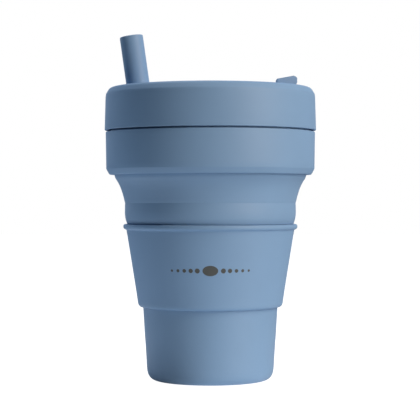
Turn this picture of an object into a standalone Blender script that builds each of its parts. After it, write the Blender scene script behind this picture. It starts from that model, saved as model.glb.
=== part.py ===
"""A collapsible travel cup with a screw lid, a flip stopper and a straw, as twelve separate solids.

Metres, +Z up. The cup stands on Z = 0 with its axis on Z; the straw leans towards -X and the stopper is
on the +X side. The silicone cup is one moulding that folds in two places, so it is made here as five
solids: a base, a middle wall and a rim that keep their shape, and the two folds between them. The heat
sleeve, the collar and the lid are hard plastic. All the numbers below are millimetres, heights measured
from the ground with the cup at full height; sections are (radius, height) pairs.
"""

from math import cos, pi, radians, sin

import bmesh
import bpy
from mathutils import Vector

MM = 0.001

# Facets, and the gap kept between pieces that touch
SEGMENTS = 48
SMALL_SEGMENTS = 24
GAP = 0.3
SHARP = radians(35)

# Lid
LID_TOP, LID_BOTTOM = 140.3, 119.95
LID_EDGE_RADIUS = 50.85  # at its lower edge; the wall drafts in towards the top
LID_CROWN = ((50.4, 135.6), (50.2, 137.1), (49.4, 138.7), (48.5, 139.7), (47.3, 140.3))
LID_RECESS_RADIUS = 44.5
PLATE_BOTTOM, PLATE_TOP = 136.8, 138.8
SKIRT_BORE = 49.1
SEAL_RIB = (45.4, 46.2, 135.2)  # inner radius, outer radius, lowest height
SIP_HOLE_X, SIP_HOLE_RADIUS = 35.5, 4.6
ANCHOR_X, ANCHOR_HOLE_RADIUS = 19.5, 1.8

# Collar and the thread that holds the lid
COLLAR_BOTTOM, SHOULDER, NECK_TOP = 98.7, 119.2, 134.0
COLLAR_FOOT_RADIUS, COLLAR_BAND_RADIUS, COLLAR_TOP_RADIUS = 48.2, 50.05, 50.35
COLLAR_ROUNDING = 2.9
COLLAR_BORE, NECK_RADIUS = 46.6, 47.9
GROOVE_RADIUS, GROOVE_BOTTOM, GROOVE_TOP = 48.4, 108.7, 112.0
THREAD_PITCH, THREAD_START, THREAD_TURNS = 4.0, 122.6, 1.25
NECK_CREST, LID_CREST = 48.5, 48.7

# Silicone cup, outer lines
FOOT_RADIUS, FOOT_ROUNDING = 24.8, 5.6
FOOT_RECESS_RADIUS, FOOT_RECESS = 18.0, 0.6
FLOOR_TOP = 3.0
BASE_LINE = ((30.4, 5.6), (31.0, 16.0), (31.8, 27.6), (32.35, 35.3), (32.55, 38.0))
LOWER_FOLD_LINE = ((32.58, 38.3), (33.1, 54.7))
MIDDLE_LINE = (
    (35.5, 55.0),
    (38.2, 72.0),
    (38.6, 74.6),
    (39.5, 75.4),
    (40.9, 77.7),
    (41.15, 79.7),
    (41.15, 85.2),
)
MIDDLE_BORE = ((38.6, 85.2), (38.6, 80.0), (36.5, 72.5), (32.9, 55.0))
UPPER_FOLD_LINE = (
    (41.25, 85.5),
    (42.15, 89.3),
    (43.5, 93.1),
    (45.8, 97.0),
    (46.25, 98.9),
    (46.1, 101.0),
    (44.8, 104.0),
    (44.7, 108.7),
)
FOLD_WALL = 1.4
RIM = (44.9, 48.1, 109.0, 111.7)  # inner radius, outer radius, lowest and highest height

# Heat sleeve
SLEEVE_LINE = ((34.8, 37.3), (35.16, 39.2), (36.95, 50.8), (38.8, 62.3), (40.33, 72.0))
SLEEVE_LIP_RADIUS, SLEEVE_BOTTOM, SLEEVE_TOP = 32.65, 35.5, 75.0
BEAD_RADIUS = 41.9
SLEEVE_WALL = 1.8

# Straw
STRAW_LEAN = radians(8.02)
STRAW_RADIUS, STRAW_BORE = 5.6, 4.2
STRAW_X, STRAW_Z = -34.6, 140.0  # where its axis crosses the lid
STRAW_TOP, STRAW_BOTTOM = 165.4, 10.0
STRAW_BOSS_RADIUS, STRAW_BOSS_TOP = 7.4, 0.0  # height above the crossing

# Stopper: a strap with a living hinge, a plug under the flap and a lifting tab on it
HINGE_X = 24.05
STRAP_BOTTOM, STRAP_TOP, STRAP_HALF_WIDTH = 139.1, 140.3, 4.0
TAB_HALF_WIDTH = 5.5
TAB_OUTLINE = (
    (31.7, 139.5),
    (40.2, 139.5),
    (40.9, 142.4),
    (41.5, 143.3),
    (41.7, 144.2),
    (41.5, 145.0),
    (40.9, 145.7),
    (40.0, 146.0),
    (31.7, 144.5),
)

# Finishes: base colour and roughness
PLASTIC = ((0.23, 0.34, 0.50), 0.45)
RUBBER = ((0.22, 0.33, 0.49), 0.60)


def clear_scene():
    for thing in list(bpy.data.objects):
        bpy.data.objects.remove(thing)


def material(name, colour, roughness):
    """A Principled material of its own for the solid of that name."""
    made = bpy.data.materials.new(name)
    made.use_nodes = True
    shader = made.node_tree.nodes["Principled BSDF"]
    shader.inputs["Base Color"].default_value = (*colour, 1)
    shader.inputs["Roughness"].default_value = roughness
    shader.inputs["Metallic"].default_value = 0
    return made


def rounding(inner, outer, low, high, start, end, steps=4):
    """Points of an elliptical quarter between two radii and two heights, angles from +radius to +Z."""
    turns = [radians(start + (end - start) * i / steps) for i in range(steps + 1)]
    centre_r = inner
    centre_z = high if start < 0 else low
    return [(centre_r + (outer - inner) * cos(a), centre_z + (high - low) * sin(a)) for a in turns]


def inward(line, thickness):
    """The same line a wall's thickness inside, from top to bottom."""
    return [(r - thickness, z) for r, z in reversed(line)]


def finish_mesh(bm, name, finish):
    """The bmesh as a named object with outward faces, its material and smooth shading."""
    bmesh.ops.recalc_face_normals(bm, faces=bm.faces)
    mesh = bpy.data.meshes.new(name)
    bm.to_mesh(mesh)
    bm.free()
    mesh.shade_smooth()
    mesh.set_sharp_from_angle(angle=SHARP)
    mesh.materials.append(material(name, *finish))
    made = bpy.data.objects.new(name, mesh)
    bpy.context.scene.collection.objects.link(made)
    return made


def turned(name, section, finish, segments=SEGMENTS):
    """A closed (radius, height) section turned about Z. Points on the axis become poles."""
    bm = bmesh.new()
    points = [bm.verts.new((r * MM, 0, z * MM)) for r, z in section]
    loop = zip(points, points[1:] + points[:1])
    edges = [bm.edges.new(pair) for pair in loop if pair[0].co.x > 0 or pair[1].co.x > 0]
    bmesh.ops.spin(
        bm, geom=points + edges, cent=(0, 0, 0), axis=(0, 0, 1), angle=2 * pi, steps=segments, use_merge=True
    )
    bmesh.ops.remove_doubles(bm, verts=bm.verts, dist=1e-6)
    return finish_mesh(bm, name, finish)


def extruded(name, outline, half_width, finish):
    """A closed (x, z) outline extruded along Y, to half_width each side of Y = 0."""
    bm = bmesh.new()
    face = bm.faces.new([bm.verts.new((x * MM, -half_width * MM, z * MM)) for x, z in outline])
    swept = bmesh.ops.extrude_face_region(bm, geom=[face])["geom"]
    moved = [v for v in swept if isinstance(v, bmesh.types.BMVert)]
    bmesh.ops.translate(bm, verts=moved, vec=(0, 2 * half_width * MM, 0))
    return finish_mesh(bm, name, finish)


def combine(target, operation, other):
    """Adds or takes away a helper shape, which stops being a piece of its own."""
    other.hide_render = True
    other.display_type = "WIRE"
    step = target.modifiers.new(f"{operation.lower()} {other.name}", "BOOLEAN")
    step.operation = operation
    step.object = other
    step.solver = "EXACT"


def thread(name, root, crest, first_turn, last_turn, drop, finish):
    """A helical ridge from its root radius to its crest, which fades into the wall at both ends."""
    bury = 0.6 if root < crest else -0.6
    half_root, half_crest = 0.9, 0.4
    stations = round((last_turn - first_turn) * SEGMENTS)
    bm = bmesh.new()
    rings = []
    for i in range(stations + 1):
        turn = first_turn + i / SEGMENTS
        height = THREAD_START + THREAD_PITCH * turn - drop
        fade = min(1, 0.1 + i / 4, 0.1 + (stations - i) / 4)
        edge = root + (crest - root) * fade
        section = ((root - bury, -half_root), (edge, -half_crest), (edge, half_crest), (root - bury, half_root))
        angle = 2 * pi * turn
        rings.append(
            [bm.verts.new((r * cos(angle) * MM, r * sin(angle) * MM, (height + dz) * MM)) for r, dz in section]
        )
    for one, two in zip(rings, rings[1:]):
        for a in range(4):
            b = (a + 1) % 4
            bm.faces.new((one[a], one[b], two[b], two[a]))
    bm.faces.new(rings[0])
    bm.faces.new(rings[-1])
    return finish_mesh(bm, name, finish)


def cup_base():
    """The foot, its shallow recess, the rounded corner and the wall up to the lower fold."""
    foot_edge = BASE_LINE[0][0]
    section = (
        [(0, FOOT_RECESS), (FOOT_RECESS_RADIUS - FOOT_RECESS, FOOT_RECESS), (FOOT_RECESS_RADIUS, 0)]
        + rounding(FOOT_RADIUS, foot_edge, 0, FOOT_ROUNDING, -90, 0)[:-1]
        + list(BASE_LINE)
        + [(30.7, 38.0), (28.0, 5.2), (27.0, 3.5), (25.4, FLOOR_TOP), (0, FLOOR_TOP)]
    )
    return turned("cup_base", section, RUBBER)


def cup_folds():
    """The two zones of the wall that turn inside out as the cup is pressed flat."""
    for name, line in (("cup_lower_fold", LOWER_FOLD_LINE), ("cup_upper_fold", UPPER_FOLD_LINE)):
        turned(name, list(line) + inward(line, FOLD_WALL), RUBBER)


def cup_middle():
    """Lines the sleeve, bulges over the sleeve's top edge and rises as a plain band."""
    return turned("cup_middle", list(MIDDLE_LINE + MIDDLE_BORE), RUBBER)


def cup_rim():
    """The flange round the cup's mouth, held in the collar's groove."""
    inner, outer, low, high = RIM
    return turned("cup_rim", [(inner, low), (outer, low), (outer, high), (inner, high)], RUBBER)


def heat_sleeve():
    """A cone with a bead round its top and a lip that turns in under it."""
    foot_r, foot_z = SLEEVE_LINE[0]
    bead_bottom = SLEEVE_LINE[-1][1]
    section = (
        [(SLEEVE_LIP_RADIUS, SLEEVE_BOTTOM)]
        + rounding(foot_r - 1.6, foot_r, SLEEVE_BOTTOM, foot_z, -90, 0, 3)[:-1]
        + list(SLEEVE_LINE)
        + [
            (BEAD_RADIUS - 0.6, bead_bottom + 0.1),
            (BEAD_RADIUS, bead_bottom + 0.7),
            (BEAD_RADIUS, SLEEVE_TOP - 0.7),
            (BEAD_RADIUS - 0.7, SLEEVE_TOP),
            (39.7, SLEEVE_TOP),
            (38.95, 74.2),
        ]
        + inward(SLEEVE_LINE[1:], SLEEVE_WALL)
        + [(33.1, 37.0), (SLEEVE_LIP_RADIUS, 36.4)]
    )
    return turned("heat_sleeve", section, PLASTIC)


def collar():
    """A band round the cup's mouth, grooved for its rim, with a shoulder and a threaded neck."""
    section = (
        [(COLLAR_BORE, COLLAR_BOTTOM)]
        + rounding(
            COLLAR_FOOT_RADIUS, COLLAR_BAND_RADIUS, COLLAR_BOTTOM, COLLAR_BOTTOM + COLLAR_ROUNDING, -90, 0
        )
        + [
            (COLLAR_TOP_RADIUS, SHOULDER - 0.4),
            (COLLAR_TOP_RADIUS - 0.4, SHOULDER),
            (NECK_RADIUS, SHOULDER),
            (NECK_RADIUS, NECK_TOP - 0.3),
            (NECK_RADIUS - 0.3, NECK_TOP),
            (COLLAR_BORE, NECK_TOP),
            (COLLAR_BORE, GROOVE_TOP),
            (GROOVE_RADIUS, GROOVE_TOP),
            (GROOVE_RADIUS, GROOVE_BOTTOM),
            (COLLAR_BORE, GROOVE_BOTTOM),
        ]
    )
    made = turned("collar", section, PLASTIC)
    ridge = thread("collar_thread", NECK_RADIUS, NECK_CREST, 0, THREAD_TURNS, 0, PLASTIC)
    combine(made, "UNION", ridge)
    return made


def lean_with_straw(thing):
    """Sets a shape turned about Z on the straw's axis, its height 0 where the axis crosses the lid."""
    thing.location = Vector((STRAW_X, 0, STRAW_Z)) * MM
    thing.rotation_euler = (0, -STRAW_LEAN, 0)
    return thing


def rod(name, radius, low, high, segments=SMALL_SEGMENTS):
    return turned(name, [(0, low), (radius, low), (radius, high), (0, high)], PLASTIC, segments)


def lid():
    """The plate in its shallow recess, the skirt with its thread, the straw's boss and three holes."""
    rib_inner, rib_outer, rib_bottom = SEAL_RIB
    section = (
        [
            (0, PLATE_BOTTOM),
            (rib_inner, PLATE_BOTTOM),
            (rib_inner, rib_bottom),
            (rib_outer, rib_bottom),
            (rib_outer, PLATE_BOTTOM),
            (SKIRT_BORE, PLATE_BOTTOM),
            (SKIRT_BORE, LID_BOTTOM),
            (LID_EDGE_RADIUS - 0.3, LID_BOTTOM),
            (LID_EDGE_RADIUS, LID_BOTTOM + 0.3),
        ]
        + list(LID_CROWN)
        + [(LID_RECESS_RADIUS + 0.4, LID_TOP), (LID_RECESS_RADIUS, LID_TOP - 0.4)]
        + [(LID_RECESS_RADIUS - 0.3, PLATE_TOP), (0, PLATE_TOP)]
    )
    made = turned("lid", section, PLASTIC)
    combine(made, "UNION", thread("lid_thread", SKIRT_BORE, LID_CREST, 0.25, THREAD_TURNS, 2.0, PLASTIC))
    boss = rod("straw_boss", STRAW_BOSS_RADIUS, PLATE_BOTTOM + 1 - STRAW_Z, STRAW_BOSS_TOP)
    combine(made, "UNION", lean_with_straw(boss))
    combine(made, "DIFFERENCE", lean_with_straw(rod("straw_hole", STRAW_RADIUS + GAP, -9, 9)))
    for name, x, radius in (
        ("sip_hole", SIP_HOLE_X, SIP_HOLE_RADIUS),
        ("anchor_hole", ANCHOR_X, ANCHOR_HOLE_RADIUS),
    ):
        hole = rod(name, radius, PLATE_BOTTOM - 1, PLATE_TOP + 1)
        hole.location = (x * MM, 0, 0)
        combine(made, "DIFFERENCE", hole)
    return made


def lid_seal():
    """A flat ring between the lid's plate and the collar's neck."""
    inner, outer = SEAL_RIB[1] + GAP, LID_CREST
    low, high = NECK_TOP + GAP, PLATE_BOTTOM - GAP
    return turned("lid_seal", [(inner, low), (outer, low), (outer, high), (inner, high)], RUBBER)


def stopper_anchor():
    """A rivet snapped through the lid's plate, and the fixed half of the strap."""
    head, stem, barb = 4.0, ANCHOR_HOLE_RADIUS - GAP, 2.8
    rivet = [
        (0, PLATE_BOTTOM - 1.9),
        (1.4, PLATE_BOTTOM - 1.9),
        (barb, PLATE_BOTTOM - 0.9),
        (barb, PLATE_BOTTOM - GAP),
        (stem, PLATE_BOTTOM - GAP),
        (stem, STRAP_BOTTOM),
        (head, STRAP_BOTTOM),
        (head, STRAP_TOP),
        (head - 0.5, STRAP_TOP + 0.4),
        (0, STRAP_TOP + 0.4),
    ]
    made = turned("stopper_anchor", rivet, RUBBER, SMALL_SEGMENTS)
    made.location = (ANCHOR_X * MM, 0, 0)
    end = HINGE_X - GAP
    strap = [
        (ANCHOR_X, STRAP_BOTTOM),
        (end - 1.0, STRAP_BOTTOM),
        (end, STRAP_TOP - 0.6),
        (end, STRAP_TOP),
        (ANCHOR_X, STRAP_TOP),
    ]
    combine(made, "UNION", extruded("anchor_strap", strap, STRAP_HALF_WIDTH - 0.2, RUBBER))
    return made


def stopper_flap():
    """The half that turns about the living hinge: strap, plug and the tab that a finger lifts."""
    start = HINGE_X + GAP
    strap = [
        (start, STRAP_TOP - 0.6),
        (start + 1.0, STRAP_BOTTOM),
        (SIP_HOLE_X, STRAP_BOTTOM),
        (SIP_HOLE_X, STRAP_TOP),
        (start, STRAP_TOP),
    ]
    made = extruded("stopper_flap", strap, STRAP_HALF_WIDTH, RUBBER)
    plug_radius, collar_radius = SIP_HOLE_RADIUS - GAP, 5.3
    plug = [
        (0, PLATE_BOTTOM - 0.8),
        (3.4, PLATE_BOTTOM - 0.8),
        (plug_radius, PLATE_BOTTOM + 0.4),
        (plug_radius, STRAP_BOTTOM),
        (collar_radius, STRAP_BOTTOM),
        (collar_radius, STRAP_TOP),
        (0, STRAP_TOP),
    ]
    stem = turned("stopper_plug", plug, RUBBER, SMALL_SEGMENTS)
    stem.location = (SIP_HOLE_X * MM, 0, 0)
    combine(made, "UNION", stem)
    combine(made, "UNION", extruded("stopper_tab", list(TAB_OUTLINE), TAB_HALF_WIDTH, RUBBER))
    return made


def straw():
    """A soft tube from its mouth to just above the cup's floor, with rounded ends."""
    above = (STRAW_TOP - STRAW_Z) / cos(STRAW_LEAN)
    below = (STRAW_Z - STRAW_BOTTOM) / cos(STRAW_LEAN)
    edge = 0.4
    section = [
        (STRAW_BORE, -below),
        (STRAW_RADIUS - edge, -below),
        (STRAW_RADIUS, edge - below),
        (STRAW_RADIUS, above - edge),
        (STRAW_RADIUS - edge, above),
        (STRAW_BORE, above),
    ]
    return lean_with_straw(turned("straw", section, RUBBER, SMALL_SEGMENTS))


def main():
    clear_scene()
    for make in (
        cup_base,
        cup_folds,
        cup_middle,
        cup_rim,
        heat_sleeve,
        collar,
        lid,
        lid_seal,
        stopper_anchor,
        stopper_flap,
        straw,
    ):
        make()


main()
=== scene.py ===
"""The looks of a collapsible travel cup, built round its CAD part: fine turned meshes, materials and light.

The object's sizes are millimetres in the part's own frame, with +Z up from the ground. A section is a
closed list of (radius, height) points, turned about Z. Each piece stands for the faceted CAD nodes of the
same shape, which it replaces. The stage, the lights and the camera are placed in metres.
"""

from math import cos, pi, radians, sin

import bmesh
import bpy
from mathutils import Matrix, Vector


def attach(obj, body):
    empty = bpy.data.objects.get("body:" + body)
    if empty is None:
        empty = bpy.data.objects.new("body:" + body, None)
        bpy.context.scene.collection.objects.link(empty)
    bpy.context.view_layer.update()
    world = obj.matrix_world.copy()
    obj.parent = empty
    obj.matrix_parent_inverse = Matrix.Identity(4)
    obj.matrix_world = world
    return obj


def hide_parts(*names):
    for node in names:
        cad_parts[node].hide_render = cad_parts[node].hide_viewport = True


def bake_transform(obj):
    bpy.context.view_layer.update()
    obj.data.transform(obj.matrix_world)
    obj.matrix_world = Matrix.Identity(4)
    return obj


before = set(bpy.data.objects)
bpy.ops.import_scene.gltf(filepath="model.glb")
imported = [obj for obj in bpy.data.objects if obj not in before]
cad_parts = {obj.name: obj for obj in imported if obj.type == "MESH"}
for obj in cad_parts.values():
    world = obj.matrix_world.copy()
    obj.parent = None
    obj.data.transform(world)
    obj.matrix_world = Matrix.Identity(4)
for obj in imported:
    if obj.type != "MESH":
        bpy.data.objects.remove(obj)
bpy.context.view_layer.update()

MM = 0.001

# Steps round a large piece and a small one, and along the arc of a rounded corner
AROUND = 256
SMALL_AROUND = 96
ARC_STEPS = 5

# Edges that turn by more than this are shaded as edges
SHARP = radians(40)

# ---------------------------------------------------------------- sections


def curve(points, per_span=6):
    """A smooth line through the points (Catmull-Rom with centripetal knots), ends included."""
    points = [Vector(p) for p in points]
    before = points[0] * 2 - points[1]
    after = points[-1] * 2 - points[-2]
    guides = [before] + points + [after]
    out = []
    for a, b, c, d in zip(guides, guides[1:], guides[2:], guides[3:]):
        t1 = (b - a).length ** 0.5
        t2 = t1 + (c - b).length ** 0.5
        t3 = t2 + (d - c).length ** 0.5
        for i in range(per_span):
            t = t1 + (t2 - t1) * i / per_span
            a1 = a * (t1 - t) / t1 + b * t / t1
            a2 = b * (t2 - t) / (t2 - t1) + c * (t - t1) / (t2 - t1)
            a3 = c * (t3 - t) / (t3 - t2) + d * (t - t2) / (t3 - t2)
            b1 = a1 * (t2 - t) / t2 + a2 * t / t2
            b2 = a2 * (t3 - t) / (t3 - t1) + a3 * (t - t1) / (t3 - t1)
            out.append(tuple(b1 * (t2 - t) / (t2 - t1) + b2 * (t - t1) / (t2 - t1)))
    return out + [tuple(points[-1])]


def line(start, end, steps):
    """Evenly spaced points of a straight line, ends included."""
    (r0, z0), (r1, z1) = start, end
    return [(r0 + (r1 - r0) * i / steps, z0 + (z1 - z0) * i / steps) for i in range(steps + 1)]


def rounded(corners):
    """The closed section through the corners. A corner with a third value gets an arc of that radius."""
    out = []
    places = [Vector(corner[:2]) for corner in corners]
    for i, corner in enumerate(corners):
        if len(corner) == 2:
            out.append(corner)
            continue
        radius = corner[2]
        here = places[i]
        back = (places[i - 1] - here).normalized()
        ahead = (places[(i + 1) % len(places)] - here).normalized()
        half = back.angle(ahead) / 2
        reach = radius * cos(half) / sin(half)
        middle = here + (back + ahead).normalized() * radius / sin(half)
        start = here + back * reach - middle
        sweep = start.angle_signed(here + ahead * reach - middle)
        for k in range(ARC_STEPS + 1):
            a = -sweep * k / ARC_STEPS
            turned_to = Vector((start.x * cos(a) - start.y * sin(a), start.x * sin(a) + start.y * cos(a)))
            out.append(tuple(middle + turned_to))
    return out


# ------------------------------------------------------------------ meshes


def new_object(name, bm):
    bmesh.ops.recalc_face_normals(bm, faces=bm.faces)
    mesh = bpy.data.meshes.new(name)
    bm.to_mesh(mesh)
    bm.free()
    mesh.shade_smooth()
    mesh.set_sharp_from_angle(angle=SHARP)
    made = bpy.data.objects.new(name, mesh)
    bpy.context.scene.collection.objects.link(made)
    return made


def turned(name, section, around=AROUND):
    """The section turned about Z. Its points on the axis become poles."""
    bm = bmesh.new()
    angles = [2 * pi * i / around for i in range(around)]
    rings = []
    for r, z in section:
        if r < 1e-6:
            rings.append([bm.verts.new((0, 0, z * MM))])
        else:
            rings.append([bm.verts.new((r * cos(a) * MM, r * sin(a) * MM, z * MM)) for a in angles])
    for one, two in zip(rings, rings[1:] + rings[:1]):
        if len(one) == 1 and len(two) == 1:
            continue
        for i in range(around):
            j = (i + 1) % around
            corners = [one[i % len(one)], one[j % len(one)], two[j % len(two)], two[i % len(two)]]
            corners = [c for k, c in enumerate(corners) if c not in corners[:k]]
            bm.faces.new(corners)
    return new_object(name, bm)


def extruded(name, outline, half_width, bevel, segments=3):
    """A closed (x, z) outline extruded along Y, with the edges of its two sides rounded."""
    bm = bmesh.new()
    face = bm.faces.new([bm.verts.new((x * MM, -half_width * MM, z * MM)) for x, z in outline])
    swept = bmesh.ops.extrude_face_region(bm, geom=[face])["geom"]
    moved = [v for v in swept if isinstance(v, bmesh.types.BMVert)]
    bmesh.ops.translate(bm, verts=moved, vec=(0, 2 * half_width * MM, 0))
    bmesh.ops.recalc_face_normals(bm, faces=bm.faces)
    caps = [f for f in bm.faces if abs(f.normal.y) > 0.9]
    edges = list({e for f in caps for e in f.edges})
    bmesh.ops.bevel(bm, geom=edges, offset=bevel * MM, segments=segments, profile=0.5, affect="EDGES")
    return new_object(name, bm)


def helix(name, root, crest, first_turn, last_turn, height_at):
    """A screw thread's ridge on a wall of radius root, which sinks into the wall at both ends."""
    buried = 0.3 if root < crest else -0.3
    fade_steps = 16
    # Half of the ridge's profile: share of its depth, and half its height there; -1 is inside the wall
    profile = [(-1, 0.95), (0.0, 0.85), (0.7, 0.55), (0.94, 0.42), (1.0, 0.3)]
    profile = [(d, -h) for d, h in profile] + [(d, h) for d, h in reversed(profile)]
    stations = round((last_turn - first_turn) * AROUND)
    bm = bmesh.new()
    rings = []
    for i in range(stations + 1):
        turn = first_turn + i / AROUND
        fade = min(1, i / fade_steps, (stations - i) / fade_steps)
        fade = fade * fade * (3 - 2 * fade)
        ring = []
        for depth, offset in profile:
            r = root - buried
            if depth >= 0:
                r = root + (crest - root) * depth * fade - buried * 0.2 * (1 - fade)
            z = height_at(turn) + offset * (0.4 + 0.6 * fade)
            ring.append(bm.verts.new((r * cos(2 * pi * turn) * MM, r * sin(2 * pi * turn) * MM, z * MM)))
        rings.append(ring)
    for one, two in zip(rings, rings[1:]):
        for a in range(len(profile)):
            b = (a + 1) % len(profile)
            bm.faces.new((one[a], one[b], two[b], two[a]))
    bm.faces.new(rings[0])
    bm.faces.new(rings[-1])
    return new_object(name, bm)


def boolean(target, operation, other):
    """Joins or cuts the target with the other shape, which it uses up."""
    step = target.modifiers.new("boolean", "BOOLEAN")
    step.operation = operation
    step.object = other
    step.solver = "EXACT"
    bpy.context.view_layer.update()
    evaluated = target.evaluated_get(bpy.context.evaluated_depsgraph_get())
    mesh = bpy.data.meshes.new_from_object(evaluated)
    target.modifiers.clear()
    target.data = mesh
    bpy.data.objects.remove(other)
    mesh.set_sharp_from_angle(angle=SHARP)


# --------------------------------------------------------------- materials


def node(tree, kind, **values):
    """A new shader node. Each value sets a property or, with spaces for underscores, an input."""
    made = tree.nodes.new(kind)
    for key, value in values.items():
        if hasattr(made, key):
            setattr(made, key, value)
        else:
            made.inputs[key.replace("_", " ")].default_value = value
    return made


def moulded(name, colour, roughness, sheen, grain, grain_size, depth, specular):
    """Moulded plastic or silicone: a slow drift of tone, a fine grain in relief, and varied gloss."""
    made = bpy.data.materials.new(name)
    made.use_nodes = True
    tree = made.node_tree
    shader = tree.nodes["Principled BSDF"]
    place = node(tree, "ShaderNodeTexCoord").outputs["Object"]

    drift = node(tree, "ShaderNodeTexNoise", Scale=38.0, Detail=3.0, Roughness=0.6)
    tree.links.new(place, drift.inputs["Vector"])
    speck = node(tree, "ShaderNodeTexNoise", Scale=grain_size, Detail=3.0, Roughness=0.65)
    tree.links.new(place, speck.inputs["Vector"])

    speck_share = 0.45
    tone = node(tree, "ShaderNodeMath", operation="MULTIPLY_ADD")
    tone.inputs[1].default_value = speck_share
    tree.links.new(speck.outputs["Fac"], tone.inputs[0])
    slow = node(tree, "ShaderNodeMath", operation="MULTIPLY")
    slow.inputs[1].default_value = 1 - speck_share
    tree.links.new(drift.outputs["Fac"], slow.inputs[0])
    tree.links.new(slow.outputs[0], tone.inputs[2])

    ramp = tree.nodes.new("ShaderNodeValToRGB")
    for end, position, level in zip(ramp.color_ramp.elements, (0.3, 0.7), (1 - grain, 1 + grain)):
        end.position = position
        end.color = (*[c * level for c in colour], 1)
    tree.links.new(tone.outputs[0], ramp.inputs["Fac"])
    tree.links.new(ramp.outputs["Color"], shader.inputs["Base Color"])

    gloss = node(tree, "ShaderNodeMapRange")
    gloss.inputs["To Min"].default_value = roughness - 0.05
    gloss.inputs["To Max"].default_value = roughness + 0.05
    tree.links.new(speck.outputs["Fac"], gloss.inputs["Value"])
    tree.links.new(gloss.outputs["Result"], shader.inputs["Roughness"])

    bump = node(tree, "ShaderNodeBump", Strength=depth, Distance=0.0002)
    tree.links.new(speck.outputs["Fac"], bump.inputs["Height"])
    tree.links.new(bump.outputs["Normal"], shader.inputs["Normal"])
    shader.inputs["Specular IOR Level"].default_value = specular
    shader.inputs["Sheen Weight"].default_value = sheen
    shader.inputs["Sheen Roughness"].default_value = 0.5
    shader.inputs["Sheen Tint"].default_value = (0.62, 0.74, 0.9, 1)
    return made


PLASTIC = moulded(
    "blue_plastic", (0.188, 0.342, 0.577), roughness=0.55, sheen=0.0,
    grain=0.03, grain_size=3200.0, depth=0.12, specular=0.35,
)
SILICONE = moulded(
    "blue_silicone", (0.182, 0.333, 0.560), roughness=0.55, sheen=0.08,
    grain=0.04, grain_size=3600.0, depth=0.16, specular=0.4,
)
INK = moulded(
    "grey_print", (0.075, 0.088, 0.093), roughness=0.5, sheen=0.0,
    grain=0.06, grain_size=3000.0, depth=0.08, specular=0.3,
)


def dress(thing, finish):
    thing.data.materials.clear()
    thing.data.materials.append(finish)
    return thing


# ----------------------------------------------------- the object's own sizes

# Lid
LID_TOP, LID_LOW = 140.3, 119.83
LID_RADIUS, SKIRT_BORE = 50.85, 49.1
PLATE_TOP, PLATE_LOW = 138.8, 136.8
SIP_X, SIP_RADIUS = 35.5, 4.6
RIVET_X, RIVET_HOLE_RADIUS = 19.5, 1.8

# Thread: the height where the collar's starts, its pitch and turns, and how far the two ridges reach
THREAD_START, PITCH, THREAD_TURNS = 122.6, 4.0, 1.25
LID_CREST, NECK_CREST = 48.7, 48.5

# Collar
COLLAR_LOW, SHOULDER, NECK_TOP = 98.55, 119.05, 134.0
COLLAR_BORE, NECK_RADIUS = 46.6, 47.9
GROOVE_RADIUS, GROOVE_LOW, GROOVE_TOP = 48.4, 108.7, 112.0

# Two points of the sleeve's straight wall, and the height where the cup's two pieces meet behind it
SLEEVE_LOWER, SLEEVE_UPPER = (36.95, 50.8), (38.8, 62.3)
MEET, MEET_GAP = 65.0, 0.01
FOLD_WALL = 1.4

# Straw: its lean, where its axis crosses the lid, and how far it goes above and below that
LEAN = radians(8.02)
STRAW_X, STRAW_Z = -34.6, 140.0
STRAW_RISE, STRAW_DROP = 25.4, 130
STRAW_RADIUS, STRAW_BORE = 5.6, 4.2

# Stopper
STRAP_LOW, STRAP_HALF_WIDTH = 139.1, 4.0
TAB_START, TAB_HALF_WIDTH = 31.7, 5.5

# Print: its height on the sleeve, and how far it stands off the wall
PRINT_HEIGHT, PRINT_LIFT = 53.9, 0.03

# ---------------------------------------------------------------- the lid


def lean_with_straw(thing):
    """Sets a shape turned about Z on the straw's axis, its height 0 where the axis crosses the lid."""
    crossing = Matrix.Translation(Vector((STRAW_X, 0, STRAW_Z)) * MM)
    thing.data.transform(crossing @ Matrix.Rotation(-LEAN, 4, "Y"))
    return thing


def placed(thing, x):
    thing.data.transform(Matrix.Translation((x * MM, 0, 0)))
    return thing


def rod(name, radius, low, high, around=SMALL_AROUND):
    return turned(name, [(0, low), (radius, low), (radius, high), (0, high)], around)


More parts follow.
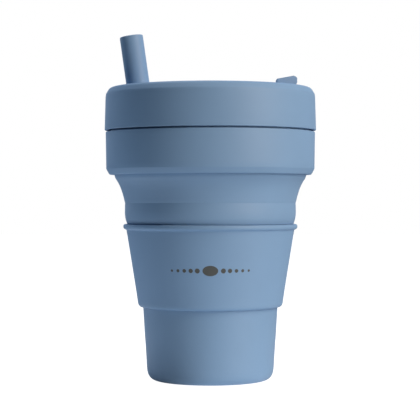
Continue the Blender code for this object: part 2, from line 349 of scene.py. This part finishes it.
def make_lid():
    """The screw lid: its underside with the seal's rib, a skirt, a crown and a shallow recess."""
    rib_inside, rib_outside, rib_low = 45.4, 46.2, 135.2
    inside = rounded(
        [
            (0, PLATE_LOW), (rib_inside, PLATE_LOW, 0.3),
            (rib_inside, rib_low, 0.25), (rib_outside, rib_low, 0.25),
            (rib_outside, PLATE_LOW, 0.3), (SKIRT_BORE, PLATE_LOW, 0.4),
            (SKIRT_BORE, LID_LOW, 0.3), (LID_RADIUS, LID_LOW, 0.35), (50.4, 135.4),
        ]
    )[:-1]
    crown = line((50.82, 121.0), (50.43, 135.0), 2)[1:-1]
    crown += curve([(50.43, 135.0), (50.35, 136.2), (50.17, 137.25)], 4)
    crown += curve([(50.1, 137.4), (49.4, 138.55), (48.8, 139.45), (48.0, 140.05), (47.2, LID_TOP)], 5)
    top = rounded(
        [(46.6, LID_TOP), (44.45, LID_TOP, 0.55), (44.2, PLATE_TOP, 0.7), (0, PLATE_TOP), (0, 139.5)]
    )[:-1]
    lid = turned("lid_shell", inside + crown + top)
    boss = turned("boss", rounded([(0, -2.5), (7.9, -2.5), (7.4, 0.0, 0.6), (0, 0.0)]), SMALL_AROUND)
    boolean(lid, "UNION", lean_with_straw(boss))
    boolean(lid, "DIFFERENCE", lean_with_straw(rod("cut", 5.9, -9, 9)))
    boolean(lid, "DIFFERENCE", placed(rod("cut", SIP_RADIUS, 135.0, 140.0), SIP_X))
    boolean(lid, "DIFFERENCE", placed(rod("cut", RIVET_HOLE_RADIUS, 135.0, 140.0, 48), RIVET_X))

    def lid_thread_height(turn):
        """Half a pitch below the collar's ridge."""
        return THREAD_START + PITCH * turn - PITCH / 2

    thread = helix("lid_thread", SKIRT_BORE, LID_CREST, 0.25, THREAD_TURNS, lid_thread_height)
    for piece in (lid, thread):
        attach(dress(piece, PLASTIC), "lid")
    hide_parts("lid")


def make_seal():
    """The flat ring under the lid's plate, outside the rib."""
    corners = [(46.5, 134.3), (48.7, 134.3), (48.7, 136.5), (46.5, 136.5)]
    seal = turned("lid_gasket", rounded([(r, z, 0.5) for r, z in corners]))
    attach(dress(seal, SILICONE), "seal")
    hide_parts("lid_seal")


def make_collar():
    """The band with its chamfered foot, the threaded neck, and the groove for the cup's rim."""
    foot = curve([(48.1, COLLAR_LOW), (48.5, 98.65), (48.85, 99.1), (49.45, 100.15), (50.0, 101.2)], 6)
    foot += [(50.09, 101.45), (50.12, 104.0)]
    section = rounded(
        [
            (COLLAR_BORE, COLLAR_LOW, 0.3), *foot, (50.35, SHOULDER, 0.35),
            (NECK_RADIUS, SHOULDER, 0.5), (NECK_RADIUS, NECK_TOP, 0.45), (COLLAR_BORE, NECK_TOP, 0.45),
            (COLLAR_BORE, GROOVE_TOP), (GROOVE_RADIUS, GROOVE_TOP),
            (GROOVE_RADIUS, GROOVE_LOW), (COLLAR_BORE, GROOVE_LOW),
        ]
    )
    collar = turned("collar_band", section)

    def neck_thread_height(turn):
        return THREAD_START + PITCH * turn

    thread = helix("collar_thread", NECK_RADIUS, NECK_CREST, 0, THREAD_TURNS, neck_thread_height)
    for piece in (collar, thread):
        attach(dress(piece, PLASTIC), "collar")
    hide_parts("collar")


# ------------------------------------------------------- cup, sleeve, straw


def make_sleeve():
    """The hard cone: a lip that turns in at the bottom, a straight wall and a bead at the top."""
    lip = [(32.95, 35.1), (33.65, 35.25), (34.3, 35.75), (34.72, 36.55), (35.16, 39.2), (35.75, 43.2)]
    wall = curve([(35.75, 43.2), SLEEVE_LOWER, SLEEVE_UPPER, (40.05, 70.0), (40.37, 71.9)], 6)[1:]
    bead = [(40.5, 72.15), (40.9, 72.3), (41.35, 72.55), (41.7, 72.9), (41.88, 73.3), (41.9, 73.75)]
    bead += [(41.87, 74.15), (41.72, 74.5), (41.4, 74.75), (40.9, 74.85), (40.2, 74.85), (39.7, 74.75)]
    inner = [(39.25, 74.5), (38.95, 74.0), (38.53, 72.0), (37.0, 62.3), (35.15, 50.8), (33.36, 39.2)]
    inner += [(33.0, 37.4), (32.75, 36.7), (32.65, 36.3), (32.65, 35.5)]
    sleeve = turned("sleeve_cone", curve(lip, 6) + wall + bead + inner)
    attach(dress(sleeve, PLASTIC), "sleeve")
    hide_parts("heat_sleeve")


def cup_lower_section():
    """The foot, the wall up to the lower fold, the fold, and the stiff ring above it."""
    recess = [(0, 0.6), (16.8, 0.6), (17.4, 0.5), (17.8, 0.2), (18.3, 0.0)]
    foot = [(25.6, 0.0), (27.2, 0.25), (28.6, 1.0), (29.6, 2.2), (30.2, 3.8), (30.5, 5.8), (30.65, 8.0)]
    wall = [(30.65, 8.0), (31.12, 16.0), (31.55, 21.8), (31.9, 27.6), (32.38, 35.3), (32.55, 38.0)]
    fold = line((32.57, 38.4), (33.1, 54.6), 48)
    ring = [(33.5, 55.0), (34.6, 55.05), (35.2, 55.2), (35.5, 55.7), (35.9, 58.0), (37.05, MEET)]
    ring += [(35.35, MEET), (34.1, 58.9), (33.4, 56.6), (32.6, 55.6), (31.75, 54.8)]
    inside = line((31.7, 54.5), (31.15, 38.4), 48) + [(30.9, 37.6), (30.5, 35.0), (29.2, 20.0)]
    inside += curve([(28.3, 8.5), (28.0, 6.6), (27.2, 4.6), (25.6, 3.3), (23.6, 3.0)], 5) + [(0, 3.0)]
    return recess + curve(foot, 6) + curve(wall, 4)[1:] + fold + ring + inside


def cup_upper_section():
    """The bulge over the sleeve, the plain band, the flare that folds, and the rim in the collar."""
    start = MEET + MEET_GAP
    bulge = [(38.8, 74.4), (39.3, 74.75), (39.7, 74.9), (40.05, 75.0)]
    bulge += [(40.3, 75.7), (40.6, 76.6), (40.9, 77.7), (41.15, 79.9)]
    band = [(41.17, 80.5), (41.12, 83.0), (41.05, 84.6), (41.06, 85.1)]
    band += [(41.2, 85.5), (41.36, 86.1), (41.63, 87.3)]
    outer = [(37.05, start), (38.2, 72.0), (38.45, 73.6)] + curve(bulge, 4) + curve(band, 5)[1:]
    flare = [(41.63, 87.3), (42.18, 89.25), (42.78, 91.15), (43.53, 93.07), (44.55, 95.05), (45.75, 97.0)]
    flare += [(46.25, 98.9), (46.25, 100.4), (45.75, 102.3), (45.0, 104.2), (44.7, 106.0), (44.7, 108.4)]
    flare = curve(flare, 6)[1:]
    rim = rounded(
        [
            (44.8, 109.0), (48.1, 109.0, 0.4), (48.1, 111.7, 0.4),
            (44.9, 111.7, 0.8), (43.5, 110.6, 0.8), (43.3, 108.6),
        ]
    )
    back = [(r - FOLD_WALL, z) for r, z in reversed(flare)]
    lining = [(39.3, 85.0), (38.9, 83.0), (38.7, 80.0), (38.1, 77.4)]
    lining += [(37.1, 75.0), (36.6, 72.5), (35.35, start)]
    return outer + flare + rim + back + lining


def make_cup():
    """The silicone moulding in two pieces, which meet behind the sleeve. Each piece's section holds one
    fold.
    """
    lower = turned("cup_lower", cup_lower_section())
    upper = turned("cup_upper", cup_upper_section())
    for piece, names in (
        (lower, ("cup_base", "cup_lower_fold")),
        (upper, ("cup_middle", "cup_upper_fold", "cup_rim")),
    ):
        dress(piece, SILICONE)
        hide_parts(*names)
    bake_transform(lower)
    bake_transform(upper)


def make_straw():
    """A plain tube with softened ends, drawn about its own axis and then leaned."""
    above, below = STRAW_RISE / cos(LEAN), STRAW_DROP / cos(LEAN)
    wall = line((STRAW_RADIUS, -below), (STRAW_RADIUS, above), 40)[1:-1]
    bore = line((STRAW_BORE, above), (STRAW_BORE, -below), 40)[1:-1]
    # Points of a softened end: radius, and how far short of the end
    end = [(STRAW_RADIUS, 0.6), (5.45, 0.18), (5.1, 0), (4.7, 0), (4.35, 0.18)]
    mouth = [(r, above - short) for r, short in end]
    tail = [(r, short - below) for r, short in reversed(end)]
    straw = lean_with_straw(turned("straw_tube", wall + mouth + bore + tail, SMALL_AROUND))
    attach(dress(straw, SILICONE), "straw")
    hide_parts("straw")


def make_stopper():
    """One soft moulding: rivet, strap, a thin web to bend at, and the flap with its plug and tab."""
    strap = rounded(
        [
            (RIVET_X, STRAP_LOW), (22.6, STRAP_LOW, 0.2), (23.5, 139.75, 0.25), (24.6, 139.75, 0.25),
            (25.5, STRAP_LOW, 0.2), (SIP_X, STRAP_LOW), (SIP_X, LID_TOP), (RIVET_X, LID_TOP),
        ]
    )
    rivet = [(0, 134.9), (1.2, 134.9), (2.8, 136.0), (2.8, 136.5), (1.5, 136.5), (1.5, STRAP_LOW)]
    rivet += rounded([(4.0, STRAP_LOW, 0.3), (4.0, 140.7, 0.55), (0, 140.7), (0, STRAP_LOW)])[:-1]
    plug = [(0, 136.0), (3.3, 136.0), (3.6, 136.15), (4.28, 137.2), (4.28, STRAP_LOW)]
    plug += rounded([(5.3, STRAP_LOW, 0.3), (5.3, LID_TOP, 0.35), (0, LID_TOP), (0, STRAP_LOW)])[:-1]
    tab = rounded(
        [
            (TAB_START, 139.4), (40.0, 139.4, 0.8), (41.0, 142.0, 0.8), (41.75, 142.7, 0.8),
            (41.75, 145.3, 1.1), (40.2, 146.15, 1.1), (TAB_START, 144.5, 0.6),
        ]
    )
    body = extruded("stopper", strap, STRAP_HALF_WIDTH, 0.35)
    boolean(body, "UNION", placed(turned("rivet", rivet, 64), RIVET_X))
    boolean(body, "UNION", placed(turned("plug", plug, 64), SIP_X))
    lift = extruded("tab", tab, TAB_HALF_WIDTH, 0.5, 5)
    narrowing = 0.045
    for corner in lift.data.vertices:
        corner.co.y *= 1 - narrowing * (corner.co.x / MM - TAB_START)
    boolean(body, "UNION", lift)
    body.name = "stopper"
    dress(body, SILICONE)
    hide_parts("stopper_anchor", "stopper_flap")
    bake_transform(body)


def sleeve_radius(z):
    """The sleeve's outer radius at that height on its straight wall."""
    (r0, z0), (r1, z1) = SLEEVE_LOWER, SLEEVE_UPPER
    return r0 + (z - z0) * (r1 - r0) / (z1 - z0)


def add_spot(bm, along, width, tall, corners=24):
    """An oval on the sleeve's wall, its centre that far along the wall from the front."""
    rings = []
    for share in (0.0, 0.33, 0.66, 1.0):
        ring = []
        for i in range(corners if share else 1):
            a = 2 * pi * i / corners
            z = PRINT_HEIGHT + tall * share * sin(a)
            turn = radians(-90) + (along + width * share * cos(a)) / sleeve_radius(PRINT_HEIGHT)
            r = sleeve_radius(z) + PRINT_LIFT
            ring.append(bm.verts.new((r * cos(turn) * MM, r * sin(turn) * MM, z * MM)))
        rings.append(ring)
    for one, two in zip(rings, rings[1:]):
        for i in range(corners):
            j = (i + 1) % corners
            face = [one[i % len(one)], two[i], two[j]]
            bm.faces.new(face if len(one) == 1 else face + [one[j]])


def make_print():
    """A plain printed ornament on the sleeve's front: a lens between two rows of dots that get smaller."""
    bm = bmesh.new()
    for side in (-1, 1):
        for i in range(5):
            size = 1.15 - 0.14 * i
            add_spot(bm, side * (6.0 + 3.1 * i), size, size)
    add_spot(bm, 0, 3.6, 2.4, 48)
    ornament = new_object("sleeve_print", bm)
    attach(dress(ornament, INK), "sleeve")


make_lid()
make_seal()
make_collar()
make_sleeve()
make_cup()
make_straw()
make_stopper()
make_print()

# ------------------------------------------------------- stage, light, camera

# The floor and the backdrop glow unevenly on the object, and the camera sees both as plain white.
FLOOR_TONE = 0.3
GLOW_AT_FOOT, GLOW_AROUND, GLOW_FAR = 0.1, 0.75, 0.0
GLOW_CENTRE = (-0.06, -0.03, 0)
PATCH_GLOW, PATCH_CENTRE = 0.5, (0.018, -0.032, 0)
BACKDROP_FRONT, BACKDROP_BEHIND = 0.0, 0.74
BACKDROP_RIGHT_SHARE = 0.6
FILL_COLOUR = (0.86, 1.06, 1.28, 1)
WHITE = (1, 1, 1, 1)

CAMERA_DISTANCE, CAMERA_HEIGHT = 0.726, 0.0864
SENSOR_WIDTH, FOCAL_LENGTH = 36, 129.0514
SHIFT_RIGHT, SHIFT_UP = -0.000833, -0.02381


def area_light(name, place, target, size, power, colour):
    light = bpy.data.lights.new(name, "AREA")
    light.shape = "RECTANGLE"
    light.size, light.size_y = size
    light.energy = power
    light.color = colour
    made = bpy.data.objects.new(name, light)
    made.location = place
    made.rotation_euler = (Vector(target) - Vector(place)).to_track_quat("-Z", "Y").to_euler()
    bpy.context.scene.collection.objects.link(made)


def only_for_lighting(tree, level):
    """The level for the rays that light the object, and 1 for the rays that show the stage itself."""
    path = tree.nodes.new("ShaderNodeLightPath")
    pick = node(tree, "ShaderNodeMix", data_type="FLOAT")
    tree.links.new(path.outputs["Is Camera Ray"], pick.inputs["Factor"])
    tree.links.new(level, pick.inputs["A"])
    pick.inputs["B"].default_value = 1.0
    return pick.outputs["Result"]


def ranged(tree, value, start, end, low, high):
    """Low where the value is under start, high where it is over end, and eased between them."""
    made = node(tree, "ShaderNodeMapRange", interpolation_type="SMOOTHSTEP")
    for key, number in (("From Min", start), ("From Max", end), ("To Min", low), ("To Max", high)):
        made.inputs[key].default_value = number
    tree.links.new(value, made.inputs["Value"])
    return made.outputs["Result"]


def distance_from(tree, place, centre):
    made = node(tree, "ShaderNodeVectorMath", operation="DISTANCE")
    made.inputs[1].default_value = centre
    tree.links.new(place, made.inputs[0])
    return made.outputs["Value"]


def make_floor():
    """A floor that glows in a wide ring round the object, and in a patch in front of its foot."""
    bm = bmesh.new()
    bmesh.ops.create_grid(bm, x_segments=1, y_segments=1, size=3.0)
    floor = new_object("floor", bm)
    floor.location.z = -0.0001
    made = bpy.data.materials.new("floor_white")
    made.use_nodes = True
    tree = made.node_tree
    shader = tree.nodes["Principled BSDF"]
    shader.inputs["Base Color"].default_value = (*[FLOOR_TONE] * 3, 1)
    shader.inputs["Roughness"].default_value = 0.9
    shader.inputs["Specular IOR Level"].default_value = 0.1
    shader.inputs["Emission Color"].default_value = WHITE
    place = node(tree, "ShaderNodeTexCoord").outputs["Object"]
    rise = ranged(tree, distance_from(tree, place, (0, 0, 0)), 0.03, 0.1, GLOW_AT_FOOT, GLOW_AROUND)
    fall = ranged(tree, distance_from(tree, place, GLOW_CENTRE), 0.06, 0.3, 1.0, GLOW_FAR)
    patch = ranged(tree, distance_from(tree, place, PATCH_CENTRE), 0.015, 0.045, PATCH_GLOW, 0.0)
    glow = node(tree, "ShaderNodeMath", operation="MULTIPLY_ADD")
    tree.links.new(rise, glow.inputs[0])
    tree.links.new(fall, glow.inputs[1])
    tree.links.new(patch, glow.inputs[2])
    tree.links.new(only_for_lighting(tree, glow.outputs[0]), shader.inputs["Emission Strength"])
    floor.data.materials.append(made)


def make_backdrop():
    """A world that lights the object from behind, less from the right and not at all from the front."""
    world = bpy.data.worlds.new("studio")
    world.use_nodes = True
    tree = world.node_tree
    sky = tree.nodes["Background"]
    path = tree.nodes.new("ShaderNodeLightPath")
    tint = node(tree, "ShaderNodeMix", data_type="RGBA")
    tint.inputs["A"].default_value = FILL_COLOUR
    tint.inputs["B"].default_value = WHITE
    tree.links.new(path.outputs["Is Camera Ray"], tint.inputs["Factor"])
    tree.links.new(tint.outputs["Result"], sky.inputs["Color"])
    split = node(tree, "ShaderNodeSeparateXYZ")
    tree.links.new(node(tree, "ShaderNodeTexCoord").outputs["Generated"], split.inputs[0])
    depth = ranged(tree, split.outputs["Y"], -0.1, 0.45, BACKDROP_FRONT, BACKDROP_BEHIND)
    side = ranged(tree, split.outputs["X"], -0.2, 0.6, 1.0, BACKDROP_RIGHT_SHARE)
    level = node(tree, "ShaderNodeMath", operation="MULTIPLY")
    tree.links.new(depth, level.inputs[0])
    tree.links.new(side, level.inputs[1])
    tree.links.new(only_for_lighting(tree, level.outputs[0]), sky.inputs["Strength"])
    bpy.context.scene.world = world


def make_camera():
    """A level camera in front of the object, a little above its middle height."""
    data = bpy.data.cameras.new("camera")
    data.sensor_width = SENSOR_WIDTH
    data.lens = FOCAL_LENGTH
    data.shift_x = SHIFT_RIGHT
    data.shift_y = SHIFT_UP
    made = bpy.data.objects.new("camera", data)
    made.location = (0, -CAMERA_DISTANCE, CAMERA_HEIGHT)
    made.rotation_euler = (radians(90), 0, 0)
    bpy.context.scene.collection.objects.link(made)
    bpy.context.scene.camera = made


area_light(
    "key", place=(0.93, -0.66, 0.64), target=(0, 0, 0.08), size=(0.5, 1.3),
    power=19.1, colour=(1.0, 0.83, 0.69),
)
area_light(
    "top", place=(-0.3, 0.1, 1.2), target=(0, 0, 0.1), size=(0.7, 0.7),
    power=3.5, colour=(0.97, 0.98, 1.0),
)
make_floor()
make_backdrop()
make_camera()
bpy.context.scene.view_settings.view_transform = "Standard"
